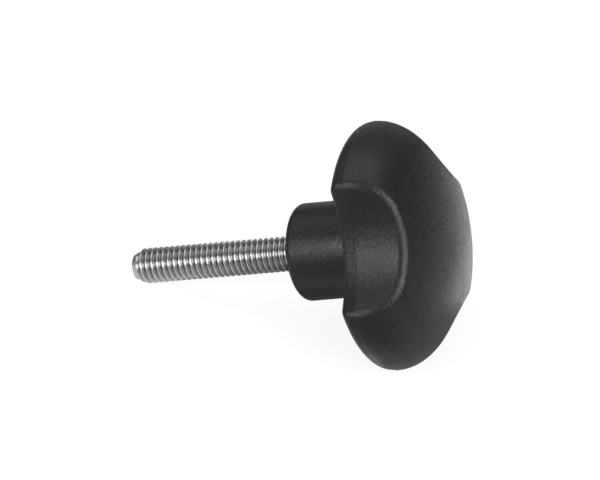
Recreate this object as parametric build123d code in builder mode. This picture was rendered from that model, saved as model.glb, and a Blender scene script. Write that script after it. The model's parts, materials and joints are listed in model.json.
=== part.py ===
"""Three-lobed star knob with a moulded-in stud, lying at rest on two lobes and the stud's tip.

Lengths are in millimetres and angles in degrees. Heights along the knob are measured from the
hub's end face: the grip lies above it, the stud below.
"""
import os
from math import asin, atan2, cos, degrees, hypot, radians, sin, sqrt, tan

from build123d import *

# Grip: the domed head, with three lobes between three scooped flutes that taper from the rim up
lobe_count = 3
grip_radius = 20.5
rim_height = 13.0
rim_edge_radius = 2.0
band_height = 0.5
shoulder_radius = 8.7
crown_radius = 43.0
flute_radius = 18.2
flute_floor_radius = 14.5
flute_draft = 3.7
flute_edge_radius = 1.0

# Cored underside of the grip
wall = 2.5
web_thickness = 2.2
web_recess = 1.6

# Hub
hub_radius = 8.0
hub_edge_radius = 1.1

# Stud, with a tapered and rounded tip, and a plain shank and hexagon head that the hub is moulded round
stud_radius = 3.0
stud_length = 30.0
tip_length = 2.0
tip_radius = 2.0
tip_edge_radius = 0.3
thread_entry = 0.1
shank_radius = 2.7
anchor_depth = 5.5
anchor_flats = 10.0
anchor_height = 4.0
anchor_sides = 6

# How far cutting solids run past what they cut
overrun = 1.0

# Rounds after which the lean at rest no longer changes
settling_rounds = 12

# Dome: a shoulder arc that leaves the parting line upright, tangent to a crown arc on the axis
rim_round_height = rim_height + rim_edge_radius
parting_height = rim_round_height + band_height
shoulder_reach = grip_radius - shoulder_radius
crown_drop = sqrt((crown_radius - shoulder_radius) ** 2 - shoulder_reach**2)
crown_centre = parting_height - crown_drop
crown_height = crown_centre + crown_radius
shoulder_sweep = degrees(atan2(crown_drop, shoulder_reach))
crown_sweep = degrees(atan2(shoulder_reach, crown_drop))

# Flutes: their cutters start below the rim and widen upwards by the draft
draft_slope = tan(radians(flute_draft))
flute_reach = flute_floor_radius + flute_radius
flute_base_height = rim_height - overrun
flute_base_radius = flute_radius - overrun * draft_slope
flute_cut_height = crown_height - flute_base_height
half_pitch = 180 / lobe_count

# Lean at rest: one plane touches the two lower lobes, where their rounded rims meet the flute's
# rounded edge, and the stud's tip where its taper starts
tip_rim_height = stud_length - tip_length
edge_offset = flute_edge_radius / cos(radians(flute_draft))
tube_radius = rim_edge_radius - flute_edge_radius
tube_reach = grip_radius - rim_edge_radius
support_turn = 0
lean = 0
for settling_round in range(settling_rounds):
    support_reach = tube_reach + tube_radius * cos(support_turn)
    support_height = rim_round_height - tube_radius * sin(support_turn)
    support_gap = flute_radius + (support_height - rim_height) * draft_slope + edge_offset
    support_depth = (support_reach**2 + flute_reach**2 - support_gap**2) / (2 * flute_reach)
    support_drop = support_depth - stud_radius
    support_span = support_height + tip_rim_height
    lean = atan2(support_drop, support_span) + asin(flute_edge_radius / hypot(support_drop, support_span))
    support_turn = atan2(flute_reach * tan(lean) + support_gap * draft_slope, support_reach)

# Frame: the ground at zero height, midway between the stud's tip and the crown
ground_clearance = stud_radius * cos(lean) + tip_rim_height * sin(lean)
tip_taper = atan2(stud_radius - tip_radius, tip_length)
tip_round_reach = tip_radius - tip_edge_radius / tan(radians(45) + tip_taper / 2)
tip_round_height = stud_length - tip_edge_radius
tip_reach = tip_round_height * cos(lean) + tip_round_reach * sin(lean) + tip_edge_radius
dome_reach = crown_centre * cos(lean) + crown_radius
face_offset = (tip_reach - dome_reach) / 2
knob_plane = Plane(
    origin=(face_offset, 0, ground_clearance),
    x_dir=(-sin(lean), 0, cos(lean)),
    z_dir=(cos(lean), 0, sin(lean)),
)
knob_axis = Axis(knob_plane.origin, knob_plane.z_dir)
profile_plane = Plane(knob_plane.origin, x_dir=knob_plane.x_dir, z_dir=-knob_plane.y_dir)


with BuildPart() as threaded_stud:
    with BuildSketch(profile_plane):
        with BuildLine():
            Polyline(
                (0, -stud_length),
                (tip_radius, -stud_length),
                (stud_radius, -tip_rim_height),
                (stud_radius, thread_entry),
                (shank_radius, thread_entry),
                (shank_radius, anchor_depth),
                (0, anchor_depth),
                close=True,
            )
        make_face()
    revolve(axis=knob_axis)
    tip_edge = threaded_stud.edges().sort_by(knob_axis)[0]
    fillet(tip_edge, tip_edge_radius)
    with BuildSketch(knob_plane.offset(anchor_depth)):
        RegularPolygon(anchor_flats / 2, anchor_sides, major_radius=False)
    extrude(amount=anchor_height)


# Space inside the grip that the mould's lower core leaves: the dome less one wall, round the hub
with BuildPart() as core:
    with BuildSketch(profile_plane):
        with BuildLine():
            inner_shoulder = CenterArc(
                (shoulder_reach, parting_height), shoulder_radius - wall, 0, shoulder_sweep
            )
            inner_crown = CenterArc((0, crown_centre), crown_radius - wall, shoulder_sweep, crown_sweep)
            Polyline(
                inner_crown @ 1,
                (0, flute_base_height),
                (grip_radius - wall, flute_base_height),
                inner_shoulder @ 0,
            )
        make_face()
    revolve(axis=knob_axis)
    with BuildSketch(knob_plane.offset(flute_base_height)):
        with PolarLocations(flute_reach, lobe_count, half_pitch):
            Circle(flute_base_radius + wall)
    extrude(amount=flute_cut_height, taper=-flute_draft, mode=Mode.SUBTRACT)
    with BuildSketch(knob_plane.offset(flute_base_height)):
        Circle(hub_radius)
    extrude(amount=crown_height, mode=Mode.SUBTRACT)
    with BuildSketch(knob_plane.offset(rim_height + web_recess)):
        with PolarLocations(flute_floor_radius / 2, lobe_count, half_pitch):
            Rectangle(flute_floor_radius, web_thickness)
    extrude(amount=crown_height, mode=Mode.SUBTRACT)


with BuildPart() as knob_head:
    with BuildSketch(profile_plane):
        with BuildLine():
            rim_round = CenterArc((tube_reach, rim_round_height), rim_edge_radius, 270, 90)
            shoulder = CenterArc((shoulder_reach, parting_height), shoulder_radius, 0, shoulder_sweep)
            crown = CenterArc((0, crown_centre), crown_radius, shoulder_sweep, crown_sweep)
            Line(rim_round @ 1, shoulder @ 0)
            Polyline(crown @ 1, (0, rim_height), rim_round @ 0)
        make_face()
    revolve(axis=knob_axis)
    with BuildSketch(knob_plane.offset(flute_base_height)):
        with PolarLocations(flute_reach, lobe_count, half_pitch):
            Circle(flute_base_radius)
    extrude(amount=flute_cut_height, taper=-flute_draft, mode=Mode.SUBTRACT)
    flute_edges = knob_head.edges(Select.LAST)
    fillet(flute_edges, flute_edge_radius)
    with BuildSketch(knob_plane):
        Circle(hub_radius)
    extrude(amount=parting_height)
    hub_edge = knob_head.edges().sort_by(knob_axis)[0]
    fillet(hub_edge, hub_edge_radius)
    add(core.part, mode=Mode.SUBTRACT)
    add(threaded_stud.part, mode=Mode.SUBTRACT)


os.makedirs("parts", exist_ok=True)
knob_head.part.label = "knob_head"
export_step(knob_head.part, "parts/knob_head.step")
threaded_stud.part.label = "threaded_stud"
export_step(threaded_stud.part, "parts/threaded_stud.step")
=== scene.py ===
"""Star knob lying on a white studio floor: a black moulded head and a stainless threaded stud.

Sizes in the classes are in millimetres. Heights along the knob are measured from the hub's end face,
with the grip above it and the stud below. Meshes are in metres, in the frame of the CAD model.
"""
import json
import logging
from dataclasses import dataclass
from enum import Enum
from typing import Any, Callable, Mapping, Optional, Sequence

import bpy
import numpy as np
from mathutils import Matrix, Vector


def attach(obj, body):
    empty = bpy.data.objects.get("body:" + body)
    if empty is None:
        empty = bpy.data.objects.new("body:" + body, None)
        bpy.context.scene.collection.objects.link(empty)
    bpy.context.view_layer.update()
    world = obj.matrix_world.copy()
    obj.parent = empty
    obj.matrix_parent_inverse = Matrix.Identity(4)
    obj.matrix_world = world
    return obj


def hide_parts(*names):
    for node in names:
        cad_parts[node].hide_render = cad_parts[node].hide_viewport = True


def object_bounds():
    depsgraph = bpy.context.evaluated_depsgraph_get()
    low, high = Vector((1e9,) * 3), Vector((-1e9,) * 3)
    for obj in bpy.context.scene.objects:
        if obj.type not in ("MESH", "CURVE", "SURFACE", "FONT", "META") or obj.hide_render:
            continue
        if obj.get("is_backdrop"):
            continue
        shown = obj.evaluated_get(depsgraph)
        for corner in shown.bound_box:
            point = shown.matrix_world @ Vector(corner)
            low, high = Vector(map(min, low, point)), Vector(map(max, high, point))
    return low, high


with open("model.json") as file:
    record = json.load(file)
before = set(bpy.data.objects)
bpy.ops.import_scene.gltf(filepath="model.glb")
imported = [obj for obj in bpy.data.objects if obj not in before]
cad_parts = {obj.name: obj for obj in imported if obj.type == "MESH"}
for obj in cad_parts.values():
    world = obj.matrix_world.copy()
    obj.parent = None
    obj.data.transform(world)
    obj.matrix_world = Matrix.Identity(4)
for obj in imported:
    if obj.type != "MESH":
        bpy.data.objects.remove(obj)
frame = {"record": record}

log = logging.getLogger("star_knob")

Array = np.ndarray
MM = 0.001
IMAGE_SIZE = (600, 480)
SENSOR_WIDTH = 36.0
CLIP_RANGE = (0.05, 20.0)

# Where most of a noise texture's values lie, and how many finer layers it has
NOISE_RANGE = (0.3, 0.7)
NOISE_DETAIL = 3.0

# Numbers of a Mix node's sockets for its two colours and their mixture
MIX_COLOURS = (6, 7)
MIX_RESULT = 2

# How far rays are searched for a surface, in millimetres, and how often the stretch is halved
SEARCH_LENGTH = 60.0
HALVINGS = 40

# Steps in which a density is summed up
DENSITY_STEPS = 4001


class Slot(Enum):
    """Material slots of the record."""

    BLACK_PLASTIC = "black_plastic"
    STAINLESS_STEEL = "stainless_steel"


class Node(Enum):
    """CAD nodes that the scene's pieces stand for."""

    KNOB_HEAD = "knob_head"
    THREADED_STUD = "threaded_stud"


def unit(vector: Sequence[float]) -> Array:
    """Returns the vector at length one."""
    vector = np.asarray(vector, dtype=float)
    return vector / np.linalg.norm(vector)


@dataclass(frozen=True)
class KnobAxis:
    """The knob's own axes as it lies at rest.

    Fields:
        origin: where the axis meets the hub's end face, in millimetres.
        along: from the stud towards the crown.
        up: across the axis, through the upper lobe.
        side: across both, so that turns from up to side are right-handed about along.
    """

    origin: Array
    along: Array
    up: Array
    side: Array

    @classmethod
    def from_record(cls, record: Mapping[str, Any]) -> "KnobAxis":
        """Reads the axes from the record's two mounts.

        Args:
            record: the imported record, whose stud mount lies on the axis and whose clamp_face mount
                lies on the hub's end face, straight above the axis.

        Returns:
            The axes of the knob.
        """
        mounts = {mount["name"]: mount for mount in record["mounts"]}
        along = -unit(mounts["stud"]["axis"])
        on_axis = np.array(mounts["stud"]["pos_m"]) / MM
        on_face = np.array(mounts["clamp_face"]["pos_m"]) / MM
        origin = on_axis + along * ((on_face - on_axis) @ along)
        up = unit(on_face - origin)
        return cls(origin, along, up, np.cross(along, up))

    def place(self, radius: Array, turn: Array, height: Array) -> Array:
        """Points of the frame, in metres, from cylinder coordinates about the knob's axis.

        Args:
            radius: distances from the axis in millimetres.
            turn: angles in radians from up towards side.
            height: heights above the hub's end face in millimetres.

        Returns:
            An array with one more axis than the arguments, of length three.
        """
        radius, turn, height = np.broadcast_arrays(radius, turn, height)
        return self.place_flat(radius * np.cos(turn), radius * np.sin(turn), height)

    def place_flat(self, upwards: Array, sideways: Array, height: Array) -> Array:
        """Points of the frame, in metres, from lengths along up, side and along, in millimetres."""
        parts = np.broadcast_arrays(upwards, sideways, height)
        axes = (self.up, self.side, self.along)
        return (self.origin + sum(part[..., None] * axis for part, axis in zip(parts, axes))) * MM


@dataclass
class Surface:
    """Vertices and faces of one closed surface, ready to be joined with others.

    Fields:
        points: an array of shape (n, 3).
        faces: lists of vertex numbers, counter-clockwise seen from outside.
    """

    points: Array
    faces: list[list[int]]

    @classmethod
    def between_poles(cls, rows: Array, first: Array, last: Array) -> "Surface":
        """Closes a grid that runs round an axis with a fan of triangles at each end.

        Args:
            rows: an array of shape (rows, columns, 3). The columns go round and join up, and the rows
                go from the first pole to the last, so that row by column is outwards.
            first: the pole before the first row.
            last: the pole after the last row.

        Returns:
            The closed surface.
        """
        count, columns = rows.shape[:2]
        number = np.arange(count * columns).reshape(count, columns)
        beside = np.roll(number, -1, axis=1)
        quads = np.stack([number[:-1], number[1:], beside[1:], beside[:-1]], axis=-1).reshape(-1, 4)
        first_number, last_number = count * columns, count * columns + 1
        top = np.stack([np.full(columns, first_number), number[0], beside[0]], axis=-1)
        bottom = np.stack([np.full(columns, last_number), beside[-1], number[-1]], axis=-1)
        points = np.concatenate([rows.reshape(-1, 3), [first, last]])
        return cls(points, quads.tolist() + top.tolist() + bottom.tolist())

    def joined(self, other: "Surface") -> "Surface":
        """Returns both surfaces as one, each closed in itself."""
        shift = len(self.points)
        moved = [[number + shift for number in face] for face in other.faces]
        return Surface(np.concatenate([self.points, other.points]), self.faces + moved)

    def piece(self, name: str, material: bpy.types.Material) -> bpy.types.Object:
        """Makes a smooth-shaded mesh object at the origin.

        Args:
            name: the piece's name.
            material: its finish.

        Returns:
            The object, linked into the scene.
        """
        mesh = bpy.data.meshes.new(name)
        mesh.from_pydata(self.points.tolist(), [], self.faces)
        mesh.polygons.foreach_set("use_smooth", np.ones(len(mesh.polygons), dtype=bool))
        mesh.materials.append(material)
        mesh.update()
        obj = bpy.data.objects.new(name, mesh)
        bpy.context.scene.collection.objects.link(obj)
        return obj


class NodeTree:
    """Short calls for building a node tree."""

    def __init__(self, tree: bpy.types.NodeTree) -> None:
        """Empties the tree and keeps it."""
        self.tree = tree
        tree.nodes.clear()

    def add(self, kind: str, settings: Optional[Mapping[str, Any]] = None, **inputs: Any) -> bpy.types.Node:
        """Adds a node, with properties from settings and sockets from inputs.

        Args:
            kind: the node's type, without the leading Shader.
            settings: properties of the node, by name.
            inputs: values or output sockets for its inputs. An underscore in a name is a space.

        Returns:
            The node.
        """
        node = self.tree.nodes.new("Shader" + kind)
        for name, value in (settings or {}).items():
            setattr(node, name, value)
        for name, value in inputs.items():
            self.feed(node.inputs[name.replace("_", " ")], value)
        return node

    def feed(self, socket: bpy.types.NodeSocket, value: Any) -> None:
        """Links an output socket to an input, or sets the input's own value."""
        if isinstance(value, bpy.types.NodeSocket):
            self.tree.links.new(value, socket)
        else:
            socket.default_value = value

    def maths(self, operation: str, *values: Any) -> bpy.types.NodeSocket:
        """Adds a Math node on these values or sockets and returns its output."""
        node = self.add("NodeMath", {"operation": operation})
        for socket, value in zip(node.inputs, values):
            self.feed(socket, value)
        return node.outputs[0]

    def spread(self, value: Any, low: float, high: float, to_low: Any, to_high: Any) -> bpy.types.NodeSocket:
        """Maps a number from one range to another, clamped, and returns the output."""
        node = self.add(
            "NodeMapRange", None, Value=value, From_Min=low, From_Max=high, To_Min=to_low, To_Max=to_high
        )
        return node.outputs["Result"]

    def blend(self, share: Any, first: Any, second: Any) -> bpy.types.NodeSocket:
        """Mixes two colours by a share and returns the output."""
        mix = self.add("NodeMix", {"data_type": "RGBA"}, Factor=share)
        for number, colour in zip(MIX_COLOURS, (first, second)):
            self.feed(mix.inputs[number], colour)
        return mix.outputs[MIX_RESULT]


@dataclass(frozen=True)
class MouldedPlastic:
    """Black moulded plastic with a fine grain from the mould.

    Fields:
        colour: the plain colour, linear.
        paler: the colour where the grain's tops are rubbed.
        roughness: lowest and highest roughness.
        grain_size: width of one grain in millimetres.
        grain_tilt: how far a grain's facet may lean, as a slope.
        mottle_size: width of the slow changes of gloss in millimetres.
        mottle_fineness: strength of their finer layers.
        refraction: the plastic's index of refraction.
    """

    name: str = "black_moulded_plastic"
    colour: tuple[float, float, float] = (0.010, 0.010, 0.0105)
    paler: tuple[float, float, float] = (0.031, 0.031, 0.0315)
    roughness: tuple[float, float] = (0.35, 0.43)
    grain_size: float = 0.135
    grain_tilt: float = 0.11
    mottle_size: float = 5.0
    mottle_fineness: float = 0.55
    refraction: float = 1.5

    def material(self) -> bpy.types.Material:
        """Builds the plastic: cells of grain that each lean their own way, with paler cells and uneven gloss.

        Returns:
            The material.
        """
        made = bpy.data.materials.new(self.name)
        made.use_nodes = True
        nodes = NodeTree(made.node_tree)
        where = nodes.add("NodeTexCoord").outputs["Object"]
        cell = nodes.add(
            "NodeTexVoronoi", None, Vector=where, Scale=1 / (self.grain_size * MM)
        ).outputs["Color"]
        mottle = nodes.add(
            "NodeTexNoise",
            None,
            Vector=where,
            Scale=1 / (self.mottle_size * MM),
            Detail=NOISE_DETAIL,
            Roughness=self.mottle_fineness,
        ).outputs[0]
        colour = nodes.blend(cell, (*self.colour, 1.0), (*self.paler, 1.0))
        gloss = nodes.spread(mottle, *NOISE_RANGE, *self.roughness)
        lean = nodes.add("NodeVectorMath", {"operation": "MULTIPLY_ADD"})
        nodes.feed(lean.inputs[0], cell)
        nodes.feed(lean.inputs[1], (2 * self.grain_tilt,) * 3)
        nodes.feed(lean.inputs[2], (-self.grain_tilt,) * 3)
        facet = nodes.add("NodeVectorMath", {"operation": "ADD"})
        nodes.feed(facet.inputs[0], nodes.add("NodeNewGeometry").outputs["Normal"])
        nodes.feed(facet.inputs[1], lean.outputs[0])
        shader = nodes.add(
            "NodeBsdfPrincipled",
            None,
            Base_Color=colour,
            Roughness=gloss,
            Normal=facet.outputs[0],
            IOR=self.refraction,
        )
        nodes.add("NodeOutputMaterial", None, Surface=shader.outputs[0])
        return made


@dataclass(frozen=True)
class RolledSteel:
    """Stainless steel of a rolled thread: crests with a painted highlight, greyer flanks and roots with
    painted shade.

    Fields:
        stud: the stud that the finish follows.
        crest: the colour of the crests, lighter than the flanks as a painted highlight, linear.
        flank: the colour of the flanks.
        root: the colour deep in the thread, painted shade in the roots, which the streaks also darken
            towards.
        streak_shade: how much darker the streaks are, as a share.
        roughness: lowest and highest roughness.
        crest_highlight_depth: depths below the crests where the painted highlight fades, in millimetres.
        root_shade_depth: depths where the painted shade in the roots sets in, in millimetres.
        streak_width: width of one streak along the stud in millimetres.
        streak_stretch: length of a streak in widths.
        streak_depth: depth of the streaks in millimetres.
        streak_range: values of the noise between which a streak fades.
    """

    stud: "ThreadedStud"
    name: str = "stainless_steel"
    crest: tuple[float, float, float] = (0.80, 0.80, 0.82)
    flank: tuple[float, float, float] = (0.66, 0.655, 0.65)
    root: tuple[float, float, float] = (0.20, 0.20, 0.20)
    streak_shade: float = 0.3
    roughness: tuple[float, float] = (0.22, 0.34)
    crest_highlight_depth: tuple[float, float] = (0.05, 0.16)
    root_shade_depth: tuple[float, float] = (0.38, 0.53)
    streak_width: float = 0.12
    streak_stretch: float = 8.0
    streak_depth: float = 0.002
    streak_range: tuple[float, float] = (0.35, 0.65)

    def in_stud_axes(
        self, nodes: NodeTree, where: bpy.types.NodeSocket, scale: tuple[float, float, float]
    ) -> bpy.types.NodeSocket:
        """Turns coordinates into the stud's axes, with the third along it, and divides them by a scale."""
        axis = self.stud.axis
        turned = nodes.add("NodeMapping", {"vector_type": "TEXTURE"}, Vector=where)
        turn = Matrix(np.stack([axis.up, axis.side, axis.along], axis=1).tolist())
        turned.inputs["Location"].default_value = axis.origin * MM
        turned.inputs["Rotation"].default_value = turn.to_euler()
        turned.inputs["Scale"].default_value = scale
        return turned.outputs[0]

    def depth(self, nodes: NodeTree, where: bpy.types.NodeSocket) -> bpy.types.NodeSocket:
        """Depth below the thread's crests in millimetres, which fall with the taper at the tip.

        The crests' radius is the smaller of the stud's and the taper's. From it the distance to the axis
        is taken away.
        """
        stud = self.stud
        parts = nodes.add("NodeSeparateXYZ", None, Vector=self.in_stud_axes(nodes, where, (MM, MM, MM)))
        upwards, sideways, height = parts.outputs
        square = nodes.maths("MULTIPLY_ADD", upwards, upwards, nodes.maths("POWER", sideways, 2.0))
        radius = nodes.maths("SQRT", square)
        slope = (stud.major_radius - stud.tip_radius) / stud.tip_length
        taper = nodes.maths("MULTIPLY_ADD", height, slope, stud.tip_radius + stud.length * slope)
        return nodes.maths("SUBTRACT", nodes.maths("MINIMUM", taper, stud.major_radius), radius)

    def material(self) -> bpy.types.Material:
        """Builds the steel: colour by depth in the thread, a painted highlight on the crests and painted
        shade in the roots, with streaks round the stud.

        Returns:
            The material.
        """
        made = bpy.data.materials.new(self.name)
        made.use_nodes = True
        nodes = NodeTree(made.node_tree)
        where = nodes.add("NodeTexCoord").outputs["Object"]
        long = (self.streak_stretch, self.streak_stretch, 1.0)
        streak = nodes.add(
            "NodeTexNoise",
            None,
            Vector=self.in_stud_axes(nodes, where, long),
            Scale=1 / (self.streak_width * MM),
            Detail=NOISE_DETAIL,
        ).outputs[0]
        depth = self.depth(nodes, where)
        streaked = nodes.spread(streak, *self.streak_range, self.streak_shade, 0.0)
        dulled = nodes.blend(streaked, (*self.flank, 1.0), (*self.root, 1.0))
        # Painted highlight: the crests take a lighter colour than the flanks, fading with depth below them.
        crest_lit = nodes.blend(nodes.spread(depth, *self.crest_highlight_depth, 0.0, 1.0), (*self.crest, 1.0), dulled)
        # Painted shade: the colour darkens to the root colour deep in the thread, where shade falls in the
        # grooves.
        colour = nodes.blend(nodes.spread(depth, *self.root_shade_depth, 0.0, 1.0), crest_lit, (*self.root, 1.0))
        gloss = nodes.spread(streak, *NOISE_RANGE, self.roughness[1], self.roughness[0])
        bump = nodes.add(
            "NodeBump", None, Strength=1.0, Distance=self.streak_depth * MM, Height=streak
        ).outputs["Normal"]
        shader = nodes.add(
            "NodeBsdfPrincipled", None, Base_Color=colour, Roughness=gloss, Normal=bump, Metallic=1.0
        )
        nodes.add("NodeOutputMaterial", None, Surface=shader.outputs[0])
        return made


@dataclass
class KnobHead:
    """The moulded head: a domed grip with three lobes and flutes, cored underneath, and a round hub.

    The parting ridge is the fine line that the mould's two halves leave round the grip. The upper half
    gives the flutes their draft and the lower half draws them and the band in again, by its own draft.
    The web_into fields say how far a web runs into what it joins, and the rows fields how fine the grid is.
    """

    axis: KnobAxis
    lobe_count: int = 3
    grip_radius: float = 20.5
    rim_height: float = 13.0
    rim_edge_radius: float = 1.4
    band_height: float = 1.1
    shoulder_radius: float = 8.7
    crown_radius: float = 43.0
    flute_radius: float = 18.2
    flute_floor_radius: float = 14.5
    flute_draft: float = np.radians(3.7)
    lower_draft: float = np.radians(7.0)
    flute_edge_radius: float = 1.2
    lower_edge_radius: float = 0.6
    ridge_height: float = 0.07
    ridge_width: float = 0.16
    wall: float = 2.5
    core_edge_radius: float = 0.2
    core_corner_radius: float = 0.8
    web_thickness: float = 2.2
    web_recess: float = 1.6
    web_edge_radius: float = 0.4
    hub_radius: float = 8.0
    hub_edge_radius: float = 1.1
    bore_radius: float = 2.35
    bore_depth: float = 5.5
    web_into_roof: float = 1.2
    web_into_hub: float = 0.8
    web_into_wall: float = 1.4
    mouth_search: float = 1.6
    ridge_level: float = 0.6
    ridge_waves: tuple[tuple[float, int, float], ...] = ((0.25, 31, 1.0), (0.15, 83, 0.0))
    ridge_on_lobes: tuple[float, float] = (0.65, 0.35)
    columns_per_flute: int = 132
    edge_turn: float = np.radians(30.5)
    edge_width: float = np.radians(4.5)
    edge_density: tuple[float, float] = (0.8, 1.8)
    dome_rows: int = 132
    arch_start: float = 0.56
    arch_density: tuple[float, float] = (0.3, 2.8)
    ridge_rows: int = 9
    rim_rows: int = 31
    core_rows: int = 44
    hub_wall_rows: int = 9
    hub_bend_rows: int = 9
    hub_face_rows: int = 6
    bore_steps: tuple[float, float] = (0.02, 0.3)

    @property
    def parting_height(self) -> float:
        """Height of the parting line, where the grip is widest."""
        return self.rim_height + self.rim_edge_radius + self.band_height

    @property
    def skin_radius(self) -> float:
        """Grip radius without the parting ridge, which stays inside the CAD model's radius."""
        return self.grip_radius - self.ridge_height

    @property
    def shoulder_reach(self) -> float:
        """Distance of the shoulder arc's centre from the axis."""
        return self.skin_radius - self.shoulder_radius

    @property
    def crown_drop(self) -> float:
        """Depth of the crown arc's centre below the parting line."""
        return np.sqrt((self.crown_radius - self.shoulder_radius) ** 2 - self.shoulder_reach**2)

    @property
    def flute_reach(self) -> float:
        """Distance of each flute's axis from the knob's axis."""
        return self.flute_floor_radius + self.flute_radius

    def dome(self, radius: Array, height: Array) -> Array:
        """Signed distance to the dome above the parting line, negative inside.

        The dome is a crown arc centred on the axis and a shoulder arc tangent to it. A point belongs to
        the shoulder where it lies outside the line through both centres.
        """
        rise = height - self.parting_height
        shoulder = np.hypot(radius - self.shoulder_reach, rise) - self.shoulder_radius
        crown = np.hypot(radius, rise + self.crown_drop) - self.crown_radius
        outside = radius * self.crown_drop > (rise + self.crown_drop) * self.shoulder_reach
        return np.where(outside, shoulder, crown)

    def band(self, radius: Array, height: Array) -> Array:
        """Distance to the grip below the parting line: a rounded corner of drafted band and underside."""
        drawn_in = (self.parting_height - height) * np.tan(self.lower_draft)
        out = radius + drawn_in - (self.skin_radius - self.rim_edge_radius)
        down = self.rim_height + self.rim_edge_radius - height
        return (
            np.minimum(np.maximum(out, down), 0)
            + np.hypot(np.maximum(out, 0), np.maximum(down, 0))
            - self.rim_edge_radius
        )

    def flute(self, radius: Array, turn: Array, height: Array) -> Array:
        """Signed distance to the nearest flute's cone, positive inside the flute.

        The cone's axis is parallel to the knob's, and its radius grows upwards by the draft. Below the
        parting line it grows downwards by the draft of the mould's lower half.
        """
        pitch = 2 * np.pi / self.lobe_count
        from_flute = turn % pitch - pitch / 2
        gap = np.hypot(radius * np.cos(from_flute) - self.flute_reach, radius * np.sin(from_flute))
        rise = height - self.parting_height
        slope = np.where(rise > 0, np.tan(self.flute_draft), -np.tan(self.lower_draft))
        waist = self.flute_radius + (self.parting_height - self.rim_height) * np.tan(self.flute_draft)
        return (waist + rise * slope - gap) * np.cos(self.flute_draft)

    @staticmethod
    def rounded(first: Array, second: Array, edge: float | Array) -> Array:
        """Larger of two distances, with the edge between them rounded to the given radius."""
        inner = np.minimum(np.maximum(first, second), -edge)
        return inner + np.hypot(np.maximum(first + edge, 0), np.maximum(second + edge, 0))

    def skin(self, radius: Array, turn: Array, height: Array) -> Array:
        """Signed distance to the grip's outside: turned form less flutes, with rounded flute edges.

        Below the parting line the edges' radius falls evenly, down to its value at the underside.
        """
        turned = np.where(
            height > self.parting_height, self.dome(radius, height), self.band(radius, height)
        )
        share = np.clip((height - self.rim_height) / (self.parting_height - self.rim_height), 0, 1)
        edge = self.lower_edge_radius + share * (self.flute_edge_radius - self.lower_edge_radius)
        return self.rounded(turned, self.flute(radius, turn, height), edge)

    def pocket(self, radius: Array, turn: Array, height: Array) -> Array:
        """Signed distance to the cored space: one wall inside the grip and outside the hub."""
        side = radius - (self.skin_radius - self.wall)
        turned = np.where(height > self.parting_height, self.dome(radius, height) + self.wall, side)
        inner = self.rounded(turned, self.flute(radius, turn, height) + self.wall, self.core_corner_radius)
        return self.rounded(inner, self.hub_radius - radius, self.core_corner_radius)

    @staticmethod
    def cast(
        form: Callable[[Array, Array, Array], Array], start: tuple[Array, Array], turn: Array, angle: Array
    ) -> tuple[Array, Array]:
        """Where rays in a half-plane through the axis leave a form, found by halving.

        Args:
            form: signed distance of radius, turn and height, negative at the start.
            start: radius and height of the rays' starts.
            turn: the half-plane's turn about the axis.
            angle: the rays' angle from along, towards larger radius.

        Returns:
            Radius and height of the points on the form.
        """
        start_radius, start_height, turn, angle = np.broadcast_arrays(*start, turn, angle)
        out, rise = np.sin(angle), np.cos(angle)
        near, far = np.zeros(turn.shape), np.full(turn.shape, SEARCH_LENGTH)
        for _ in range(HALVINGS):
            middle = (near + far) / 2
            inside = form(start_radius + middle * out, turn, start_height + middle * rise) < 0
            near, far = np.where(inside, middle, near), np.where(inside, far, middle)
        return start_radius + near * out, start_height + near * rise

    @staticmethod
    def crowded(low: float, high: float, count: int, density: Callable[[Array], Array]) -> Array:
        """Values from low up to, but without, high, spaced by the inverse of a density."""
        fine = np.linspace(low, high, DENSITY_STEPS)
        weight = density((fine[1:] + fine[:-1]) / 2)
        total = np.concatenate([[0], np.cumsum(weight)])
        return np.interp(np.linspace(0, total[-1], count, endpoint=False), total, fine)

    def columns(self) -> Array:
        """Turns of the grid's columns, crowded towards the rounded edges of the flutes."""
        half = np.pi / self.lobe_count
        even, extra = self.edge_density

        def density(turn: Array) -> Array:
            """An even density with a bell curve added at each edge."""
            return even + extra * np.exp(-(((abs(turn) - self.edge_turn) / self.edge_width) ** 2))

        one = self.crowded(-half, half, self.columns_per_flute, density)
        return (one + half + 2 * half * np.arange(self.lobe_count)[:, None]).ravel()

    def ring_of_pocket(self, turn: Array) -> tuple[Array, Array]:
        """Radius of the pocket's mouth and of the ring halfway from it to the hub, at each turn."""
        middle = self.hub_radius + self.mouth_search
        mouth, _ = self.cast(self.pocket, (middle, self.rim_height), turn, np.pi / 2)
        return mouth, (mouth + self.hub_radius) / 2

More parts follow.
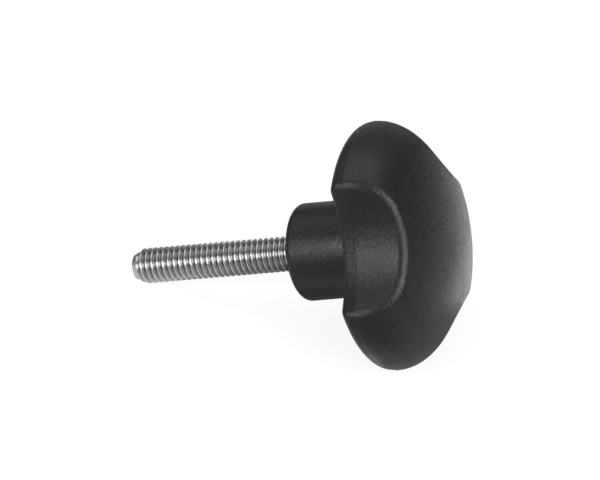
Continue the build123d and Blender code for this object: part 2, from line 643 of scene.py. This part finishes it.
    def outside_rows(self, turn: Array, mouth: Array) -> tuple[Array, Array]:
        """Rows of the grip's outside, from the crown to the flat underside.

        Rays start on the axis at the parting line. Rows crowd where the flutes' arches run, then step
        over the parting ridge, and go round the rim to the pocket. The ridge's section is a raised cosine.
        Its height is largest on the lobes, and varies round the grip by two sines.

        Args:
            turn: turns of the columns.
            mouth: radius of the pocket's mouth at each column.

        Returns:
            Radius and height, each of shape (rows, columns).
        """
        start = (0.0, self.parting_height)
        level, _ = self.cast(self.skin, start, turn, np.pi / 2)
        half_ridge = self.ridge_width / 2 / level
        upper = self.crowded(
            0, 1, self.dome_rows, lambda share: np.where(share < self.arch_start, *self.arch_density)
        )[1:, None]
        upper = upper * (np.pi / 2 - half_ridge)
        across = np.linspace(-1, 1, self.ridge_rows)[:, None]
        ridge = np.pi / 2 + across * half_ridge
        last = np.arctan2(mouth + self.core_edge_radius, self.rim_height - self.parting_height)
        lower = np.linspace(0, 1, self.rim_rows)[1:, None]
        lower = np.pi / 2 + half_ridge + lower * (last - np.pi / 2 - half_ridge)
        angle = np.concatenate([upper, ridge, lower])
        section = (1 + np.cos(np.pi * across[:, 0])) / 2
        raised = np.concatenate([np.zeros(len(upper)), section, np.zeros(len(lower))])
        uneven = self.ridge_level + sum(
            size * np.sin(count * turn + shift) for size, count, shift in self.ridge_waves
        )
        mean, swing = self.ridge_on_lobes
        on_lobes = mean + swing * np.cos(self.lobe_count * turn)
        radius, height = self.cast(self.skin, start, turn, angle)
        return radius + self.ridge_height * raised[:, None] * uneven * on_lobes, height

    def pocket_rows(self, turn: Array, mouth: Array, ring: Array) -> tuple[Array, Array]:
        """Rows of the cored space: up the outer wall, over the roof and down to the hub at the mouth."""
        edge = np.arctan2(mouth - ring, self.core_edge_radius)
        share = np.linspace(0, 1, self.core_rows)[:, None]
        angle = edge * (1 - share) - np.pi / 2 * share
        radius, height = self.cast(self.pocket, (ring, self.rim_height), turn, angle)
        inset = self.core_edge_radius * (1 - np.sqrt(0.5))
        round_radius = (mouth + inset)[None]
        round_height = np.full_like(round_radius, self.rim_height + inset)
        return np.concatenate([round_radius, radius]), np.concatenate([round_height, height])

    def hub_rows(self) -> tuple[Array, Array]:
        """Profile of the hub: its wall, its rounded edge, its end face and the bore for the stud."""
        wall_height = np.linspace(self.rim_height, self.hub_edge_radius, self.hub_wall_rows)[1:]
        bend = np.linspace(0, np.pi / 2, self.hub_bend_rows)[1:]
        bend_radius = self.hub_radius - self.hub_edge_radius * (1 - np.cos(bend))
        bend_height = self.hub_edge_radius * (1 - np.sin(bend))
        face_radius = np.linspace(bend_radius[-1], self.bore_radius, self.hub_face_rows)[1:]
        bore_height = np.array([*self.bore_steps, self.bore_depth])
        wall_radius = np.full_like(wall_height, self.hub_radius)
        bore_radius = np.full_like(bore_height, self.bore_radius)
        radius = np.concatenate([wall_radius, bend_radius, face_radius, bore_radius])
        height = np.concatenate([wall_height, bend_height, np.zeros_like(face_radius), bore_height])
        return radius, height

    def web(self, turn: float) -> Surface:
        """One web between hub and flute: a rounded lower edge carried outwards along the flute's turn."""
        low = self.rim_height + self.web_recess
        high = self.parting_height + self.shoulder_radius - self.wall + self.web_into_roof
        bend = np.linspace(0, np.pi / 2, 7)
        flat = self.web_thickness / 2 - self.web_edge_radius
        across = np.concatenate([[self.web_thickness / 2], flat + self.web_edge_radius * np.cos(bend)])
        rise = np.concatenate([[high], low + self.web_edge_radius * (1 - np.sin(bend))])
        across, rise = np.concatenate([across, -across[::-1]]), np.concatenate([rise, rise[::-1]])
        inner, outer = self.hub_radius - self.web_into_hub, self.flute_floor_radius - self.web_into_wall
        reach = np.array([inner, outer])[:, None]
        upwards = reach * np.cos(turn) - across * np.sin(turn)
        sideways = reach * np.sin(turn) + across * np.cos(turn)
        rows = self.axis.place_flat(upwards, sideways, rise + 0 * reach)
        return Surface.between_poles(rows, rows[0].mean(axis=0), rows[1].mean(axis=0))

    def build(self, material: bpy.types.Material) -> bpy.types.Object:
        """Builds the head and lets it stand for its CAD node.

        Args:
            material: its finish.

        Returns:
            The piece.
        """
        turn = self.columns()
        mouth, ring = self.ring_of_pocket(turn)
        hub_radius, hub_height = self.hub_rows()
        around = np.ones_like(turn)
        outside = self.outside_rows(turn, mouth)
        pocket = self.pocket_rows(turn, mouth, ring)
        radius = np.concatenate([outside[0], pocket[0], hub_radius[:, None] * around])
        height = np.concatenate([outside[1], pocket[1], hub_height[:, None] * around])
        crown = self.parting_height - self.crown_drop + self.crown_radius
        surface = Surface.between_poles(
            self.axis.place(radius, turn, height),
            self.axis.place_flat(0.0, 0.0, crown),
            self.axis.place_flat(0.0, 0.0, self.bore_depth),
        )
        for index in range(self.lobe_count):
            surface = surface.joined(self.web((2 * index + 1) * np.pi / self.lobe_count))
        piece = surface.piece("moulded_head", material)
        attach(piece, "root")
        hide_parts(Node.KNOB_HEAD.value)
        return piece


@dataclass
class ThreadedStud:
    """The stud: a rolled right-hand M6 thread with a tapered, rounded tip, and a plain shank in the hub."""

    axis: KnobAxis
    major_radius: float = 2.9
    minor_radius: float = 2.34
    pitch: float = 1.0
    length: float = 30.0
    tip_length: float = 1.75
    tip_radius: float = 1.945
    tip_round: float = 0.3
    run_in_length: float = 1.2
    crest_width: float = 0.21
    crest_round: float = 0.1
    root_round: float = 0.2
    entry: float = 0.1
    shank_radius: float = 2.3
    shank_depth: float = 5.4
    start_turn: float = 1.57
    flank_slope: float = np.sqrt(3.0)
    shank_step: float = 0.3
    columns: int = 96
    rows_per_pitch: int = 18
    round_rows: int = 6
    end_rings: tuple[float, float] = (0.7, 0.35)

    def profile(self, turn: Array, height: Array) -> Array:
        """Radius of the thread at each turn and height.

        The distance to the nearest crest runs along the helix, which climbs one pitch in each right-hand
        turn. From the crest's flat, the flanks fall at 60 degrees to each other, down to a rounded root.
        On the tapered tip the groove follows the taper and grows from nothing to its full depth.

        Args:
            turn: turns about the axis.
            height: heights along it.

        Returns:
            The radii.
        """
        lead = height / self.pitch - (turn - self.start_turn) / (2 * np.pi)
        away = np.abs(lead - np.round(lead)) * self.pitch
        flank = self.major_radius - (away - self.crest_width / 2) * self.flank_slope
        rooted = self.soft_larger(flank, self.minor_radius, self.root_round)
        crested = -self.soft_larger(-rooted, -self.major_radius, self.crest_round)
        above_tip = height + self.length
        taper = self.tip_radius + above_tip * (self.major_radius - self.tip_radius) / self.tip_length
        run_in = np.clip((above_tip - self.tip_round) / self.run_in_length, 0, 1)
        return np.minimum(self.major_radius, taper) - (self.major_radius - crested) * run_in

    @staticmethod
    def soft_larger(first: Array, second: Any, width: float) -> Array:
        """Larger of two values, blended by a parabola where they differ by less than the width."""
        blend = np.maximum(width - np.abs(first - second), 0) / width
        return np.maximum(first, second) + blend**2 * width / 4

    def build(self, material: bpy.types.Material) -> bpy.types.Object:
        """Builds the stud and lets it stand for its CAD node.

        Args:
            material: its finish.

        Returns:
            The piece.
        """
        turn = np.linspace(0, 2 * np.pi, self.columns, endpoint=False)
        tip = self.tip_round - self.length
        count = int(round((self.entry - tip) / self.pitch * self.rows_per_pitch))
        height = np.linspace(self.entry, tip, count + 1)[:, None]
        radius = self.profile(turn, height)
        shank_height = np.array([self.shank_depth, self.entry + self.shank_step])[:, None]
        shank_radius = np.full((2, self.columns), self.shank_radius)
        bend = np.linspace(0, np.pi / 2, self.round_rows)[1:, None]
        round_radius = radius[-1] - self.tip_round * (1 - np.cos(bend))
        round_height = tip - self.tip_round * np.sin(bend)
        rings = np.array(self.end_rings)[:, None]
        end_radius = np.concatenate([round_radius, round_radius[-1] * rings])
        end_height = np.concatenate([round_height, np.full_like(rings, -self.length)])
        around = np.ones(self.columns)
        surface = Surface.between_poles(
            self.axis.place(
                np.concatenate([shank_radius, radius, end_radius]),
                turn,
                np.concatenate([shank_height, height, end_height]) * around,
            ),
            self.axis.place_flat(0.0, 0.0, self.shank_depth),
            self.axis.place_flat(0.0, 0.0, -self.length),
        )
        piece = surface.piece("rolled_stud", material)
        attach(piece, "root")
        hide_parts(Node.THREADED_STUD.value)
        return piece


@dataclass(frozen=True)
class PhotoView:
    """The photograph's viewpoint, given by how the knob lies in the picture.

    Fields:
        tilt: how far the crown end of the axis is turned towards the viewer, in radians.
        turn: turn about the axis of the side that faces the viewer, from up to side, in radians.
        roll: how far the axis drops to the left in the picture, in radians.
        scale: pixels to the millimetre at the hub's end face.
        distance: of the viewer from there, in millimetres.
        place: pixels of the hub's end face on the axis, from the picture's left and top.
    """

    axis: KnobAxis
    tilt: float = np.radians(23.945)
    turn: float = np.radians(60.0 - 1.307)
    roll: float = np.radians(4.894)
    scale: float = 6.1316
    distance: float = 2500.0
    place: tuple[float, float] = (303.491, 252.427)

    def axes(self) -> tuple[Array, Array, Array]:
        """Returns the picture's right, its up, and the direction towards the viewer."""
        facing = np.cos(self.turn) * self.axis.up + np.sin(self.turn) * self.axis.side
        back = np.sin(self.tilt) * self.axis.along + np.cos(self.tilt) * facing
        level = np.cos(self.tilt) * self.axis.along - np.sin(self.tilt) * facing
        plumb = np.cross(self.axis.along, facing)
        right = np.cos(self.roll) * level + np.sin(self.roll) * plumb
        down = -np.sin(self.roll) * level + np.cos(self.roll) * plumb
        return right, -down, back

    def build(self) -> bpy.types.Object:
        """Makes the scene's camera.

        Returns:
            The camera object.
        """
        right, up, back = self.axes()
        data = bpy.data.cameras.new("photo_camera")
        data.sensor_width = SENSOR_WIDTH
        data.lens = self.scale * self.distance * SENSOR_WIDTH / IMAGE_SIZE[0]
        data.clip_start, data.clip_end = CLIP_RANGE
        centre = np.array(IMAGE_SIZE) / 2
        aside, below = (np.array(self.place) - centre) / self.scale
        where = self.axis.origin - right * aside + up * below + back * self.distance
        camera = bpy.data.objects.new("photo_camera", data)
        turn = np.eye(4)
        turn[:3, :3] = np.stack([right, up, back], axis=1)
        turn[:3, 3] = where * MM
        camera.matrix_world = Matrix(turn.tolist())
        bpy.context.scene.collection.objects.link(camera)
        bpy.context.scene.camera = camera
        return camera


@dataclass(frozen=True)
class SoftBox:
    """A rectangular lamp that faces the knob, placed by directions in the picture.

    Fields:
        aside: degrees from the viewer towards the picture's right.
        above: degrees above the viewer's line.
        distance: from the knob in millimetres.
        size: width and height in millimetres.
        level: light that falls on a surface that faces the lamp, where 1 lights white to white.
    """

    name: str
    aside: float
    above: float
    distance: float
    size: tuple[float, float]
    level: float

    def build(self, view: PhotoView, centre: Array) -> bpy.types.Object:
        """Makes the lamp.

        Args:
            view: the viewpoint that the lamp is placed from.
            centre: the point that it faces, in millimetres.

        Returns:
            The lamp object.
        """
        right, up, back = view.axes()
        aside, above = np.radians(self.aside), np.radians(self.above)
        out = np.cos(above) * (np.cos(aside) * back + np.sin(aside) * right) + np.sin(above) * up
        data = bpy.data.lights.new(self.name, "AREA")
        data.shape = "RECTANGLE"
        data.size, data.size_y = self.size[0] * MM, self.size[1] * MM
        data.energy = self.level * np.pi * np.pi * (self.distance * MM) ** 2
        lamp = bpy.data.objects.new(self.name, data)
        across = unit(np.cross(up, out))
        turn = np.eye(4)
        turn[:3, :3] = np.stack([across, np.cross(out, across), out], axis=1)
        turn[:3, 3] = (centre + out * self.distance) * MM
        lamp.matrix_world = Matrix(turn.tolist())
        bpy.context.scene.collection.objects.link(lamp)
        return lamp


@dataclass(frozen=True)
class LightTable:
    """A flat lamp that lies on the floor and faces up.

    Fields:
        place: its middle in the frame in millimetres.
        size: its lengths along X and Y in millimetres.
        level: its brightness, where 1 is white.
        lift: its height above the floor in millimetres.
    """

    name: str
    place: tuple[float, float]
    size: tuple[float, float]
    level: float
    lift: float = 0.3

    def build(self) -> bpy.types.Object:
        """Makes the lamp, which the camera doesn't see."""
        data = bpy.data.lights.new(self.name, "AREA")
        data.shape = "RECTANGLE"
        data.size, data.size_y = self.size[0] * MM, self.size[1] * MM
        data.energy = self.level * np.pi * data.size * data.size_y
        lamp = bpy.data.objects.new(self.name, data)
        lamp.location = (self.place[0] * MM, self.place[1] * MM, self.lift * MM)
        lamp.rotation_euler = (np.pi, 0.0, 0.0)
        lamp.visible_camera = False
        bpy.context.scene.collection.objects.link(lamp)
        return lamp


@dataclass(frozen=True)
class Studio:
    """White floor, plain surroundings and soft lamps.

    Fields:
        view: the viewpoint that the lamps are placed from.
        floor_size: length of the floor's sides in millimetres.
        floor_white: the floor's own colour.
        floor_glow: its glow to the camera.
        floor_shine: its glow in polished surfaces.
        room_level: the room's even light.
        floor_lines: grid lines of the floor each way.
        tables: lamps on the floor, which stand for white parts of it in the knob's reflections.
        lamps: lamps round the knob.
    """

    view: PhotoView
    floor_size: float = 6000.0
    floor_white: float = 0.25
    floor_glow: float = 0.88
    floor_shine: float = 0.115
    room_level: float = 0.13
    floor_lines: int = 5
    tables: tuple[LightTable, ...] = (
        LightTable("back_table", (18.0, 42.0), (54.0, 64.0), 1.02),
        LightTable("wide_table", (34.0, 56.0), (100.0, 96.0), 0.30),
        LightTable("up_table", (122.0, 158.0), (90.0, 110.0), 0.38),
        LightTable("near_table", (36.0, -6.0), (52.0, 30.0), 0.23),
        LightTable("rim_table", (8.0, -18.0), (22.0, 9.0), 0.45),
        LightTable("right_table", (66.0, -36.0), (52.0, 40.0), 0.17),
        LightTable("stud_table", (-26.0, -22.0), (38.0, 44.0), 0.32),
        LightTable("far_table", (-120.0, 150.0), (160.0, 160.0), 0.5),
    )
    lamps: tuple[SoftBox, ...] = (
        SoftBox("right_box", 37.0, 4.0, 700.0, (520.0, 240.0), 0.48),
        SoftBox("left_box", -42.0, 3.0, 700.0, (400.0, 310.0), 0.36),
        SoftBox("top_box", -15.0, 70.0, 700.0, (1000.0, 640.0), 0.35),
        SoftBox("back_box", 165.0, 45.0, 900.0, (900.0, 400.0), 0.035),
    )

    def floor_material(self) -> bpy.types.Material:
        """White floor that takes the knob's shadow.

        To the camera it also glows, up to white where no shadow falls. Polished surfaces see a weaker glow.

        Returns:
            The material.
        """
        made = bpy.data.materials.new("white_floor")
        made.use_nodes = True
        nodes = NodeTree(made.node_tree)
        path = nodes.add("NodeLightPath")
        mirrored = nodes.maths("MAXIMUM", path.outputs["Is Glossy Ray"], path.outputs["Is Transmission Ray"])
        seen = nodes.maths("MULTIPLY", path.outputs["Is Camera Ray"], self.floor_glow)
        level = nodes.maths("MULTIPLY_ADD", mirrored, self.floor_shine, seen)
        matt = nodes.add("NodeBsdfDiffuse", None, Color=(self.floor_white,) * 3 + (1.0,))
        glow = nodes.add("NodeEmission", None, Strength=level)
        both = nodes.add("NodeAddShader")
        nodes.feed(both.inputs[0], matt.outputs[0])
        nodes.feed(both.inputs[1], glow.outputs[0])
        nodes.add("NodeOutputMaterial", None, Surface=both.outputs[0])
        return made

    def build_floor(self) -> bpy.types.Object:
        """Makes the floor, a flat grid at zero height, and marks it as no part of the object."""
        lines = self.floor_lines
        edge = np.linspace(-self.floor_size / 2, self.floor_size / 2, lines) * MM
        points = np.stack([*np.meshgrid(edge, edge), np.zeros((lines, lines))], axis=-1).reshape(-1, 3)
        number = np.arange(lines**2).reshape(lines, lines)
        faces = np.stack([number[:-1, :-1], number[:-1, 1:], number[1:, 1:], number[1:, :-1]], axis=-1)
        floor = Surface(points, faces.reshape(-1, 4).tolist()).piece("studio_floor", self.floor_material())
        floor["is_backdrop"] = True
        return floor

    def build_room(self) -> None:
        """Makes the world: white where the camera sees it, and an even grey as light."""
        world = bpy.data.worlds.new("studio_room")
        bpy.context.scene.world = world
        world.use_nodes = True
        nodes = NodeTree(world.node_tree)
        path = nodes.add("NodeLightPath")
        level = nodes.spread(path.outputs["Is Camera Ray"], 0.0, 1.0, self.room_level, 1.0)
        even = nodes.add("NodeBackground", None, Strength=level)
        nodes.add("NodeOutputWorld", None, Surface=even.outputs[0])

    def build(self, centre: Array) -> None:
        """Makes the floor, the room and the lamps.

        Args:
            centre: the point that the lamps face, in millimetres.
        """
        self.build_floor()
        self.build_room()
        for table in self.tables:
            table.build()
        for lamp in self.lamps:
            lamp.build(self.view, centre)
            log.info("lamp %s", lamp.name)
        bpy.context.scene.view_settings.view_transform = "Standard"


def box_lists() -> list[list[float]]:
    """The shown object's lowest and highest corners as plain lists."""
    return [[float(value) for value in corner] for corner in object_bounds()]


def main() -> None:
    """Builds the pieces, the camera and the studio."""
    logging.basicConfig(level=logging.INFO, format="%(name)s: %(message)s")
    cad_box = box_lists()
    axis = KnobAxis.from_record(frame["record"])
    view = PhotoView(axis)
    view.build()
    stud = ThreadedStud(axis)
    pieces = [
        KnobHead(axis).build(MouldedPlastic().material()),
        stud.build(RolledSteel(stud).material()),
    ]
    for piece in pieces:
        log.info("%s: %d faces", piece.name, len(piece.data.polygons))
    Studio(view).build(np.mean(cad_box, axis=0) / MM)


if __name__ == "__main__":
    main()
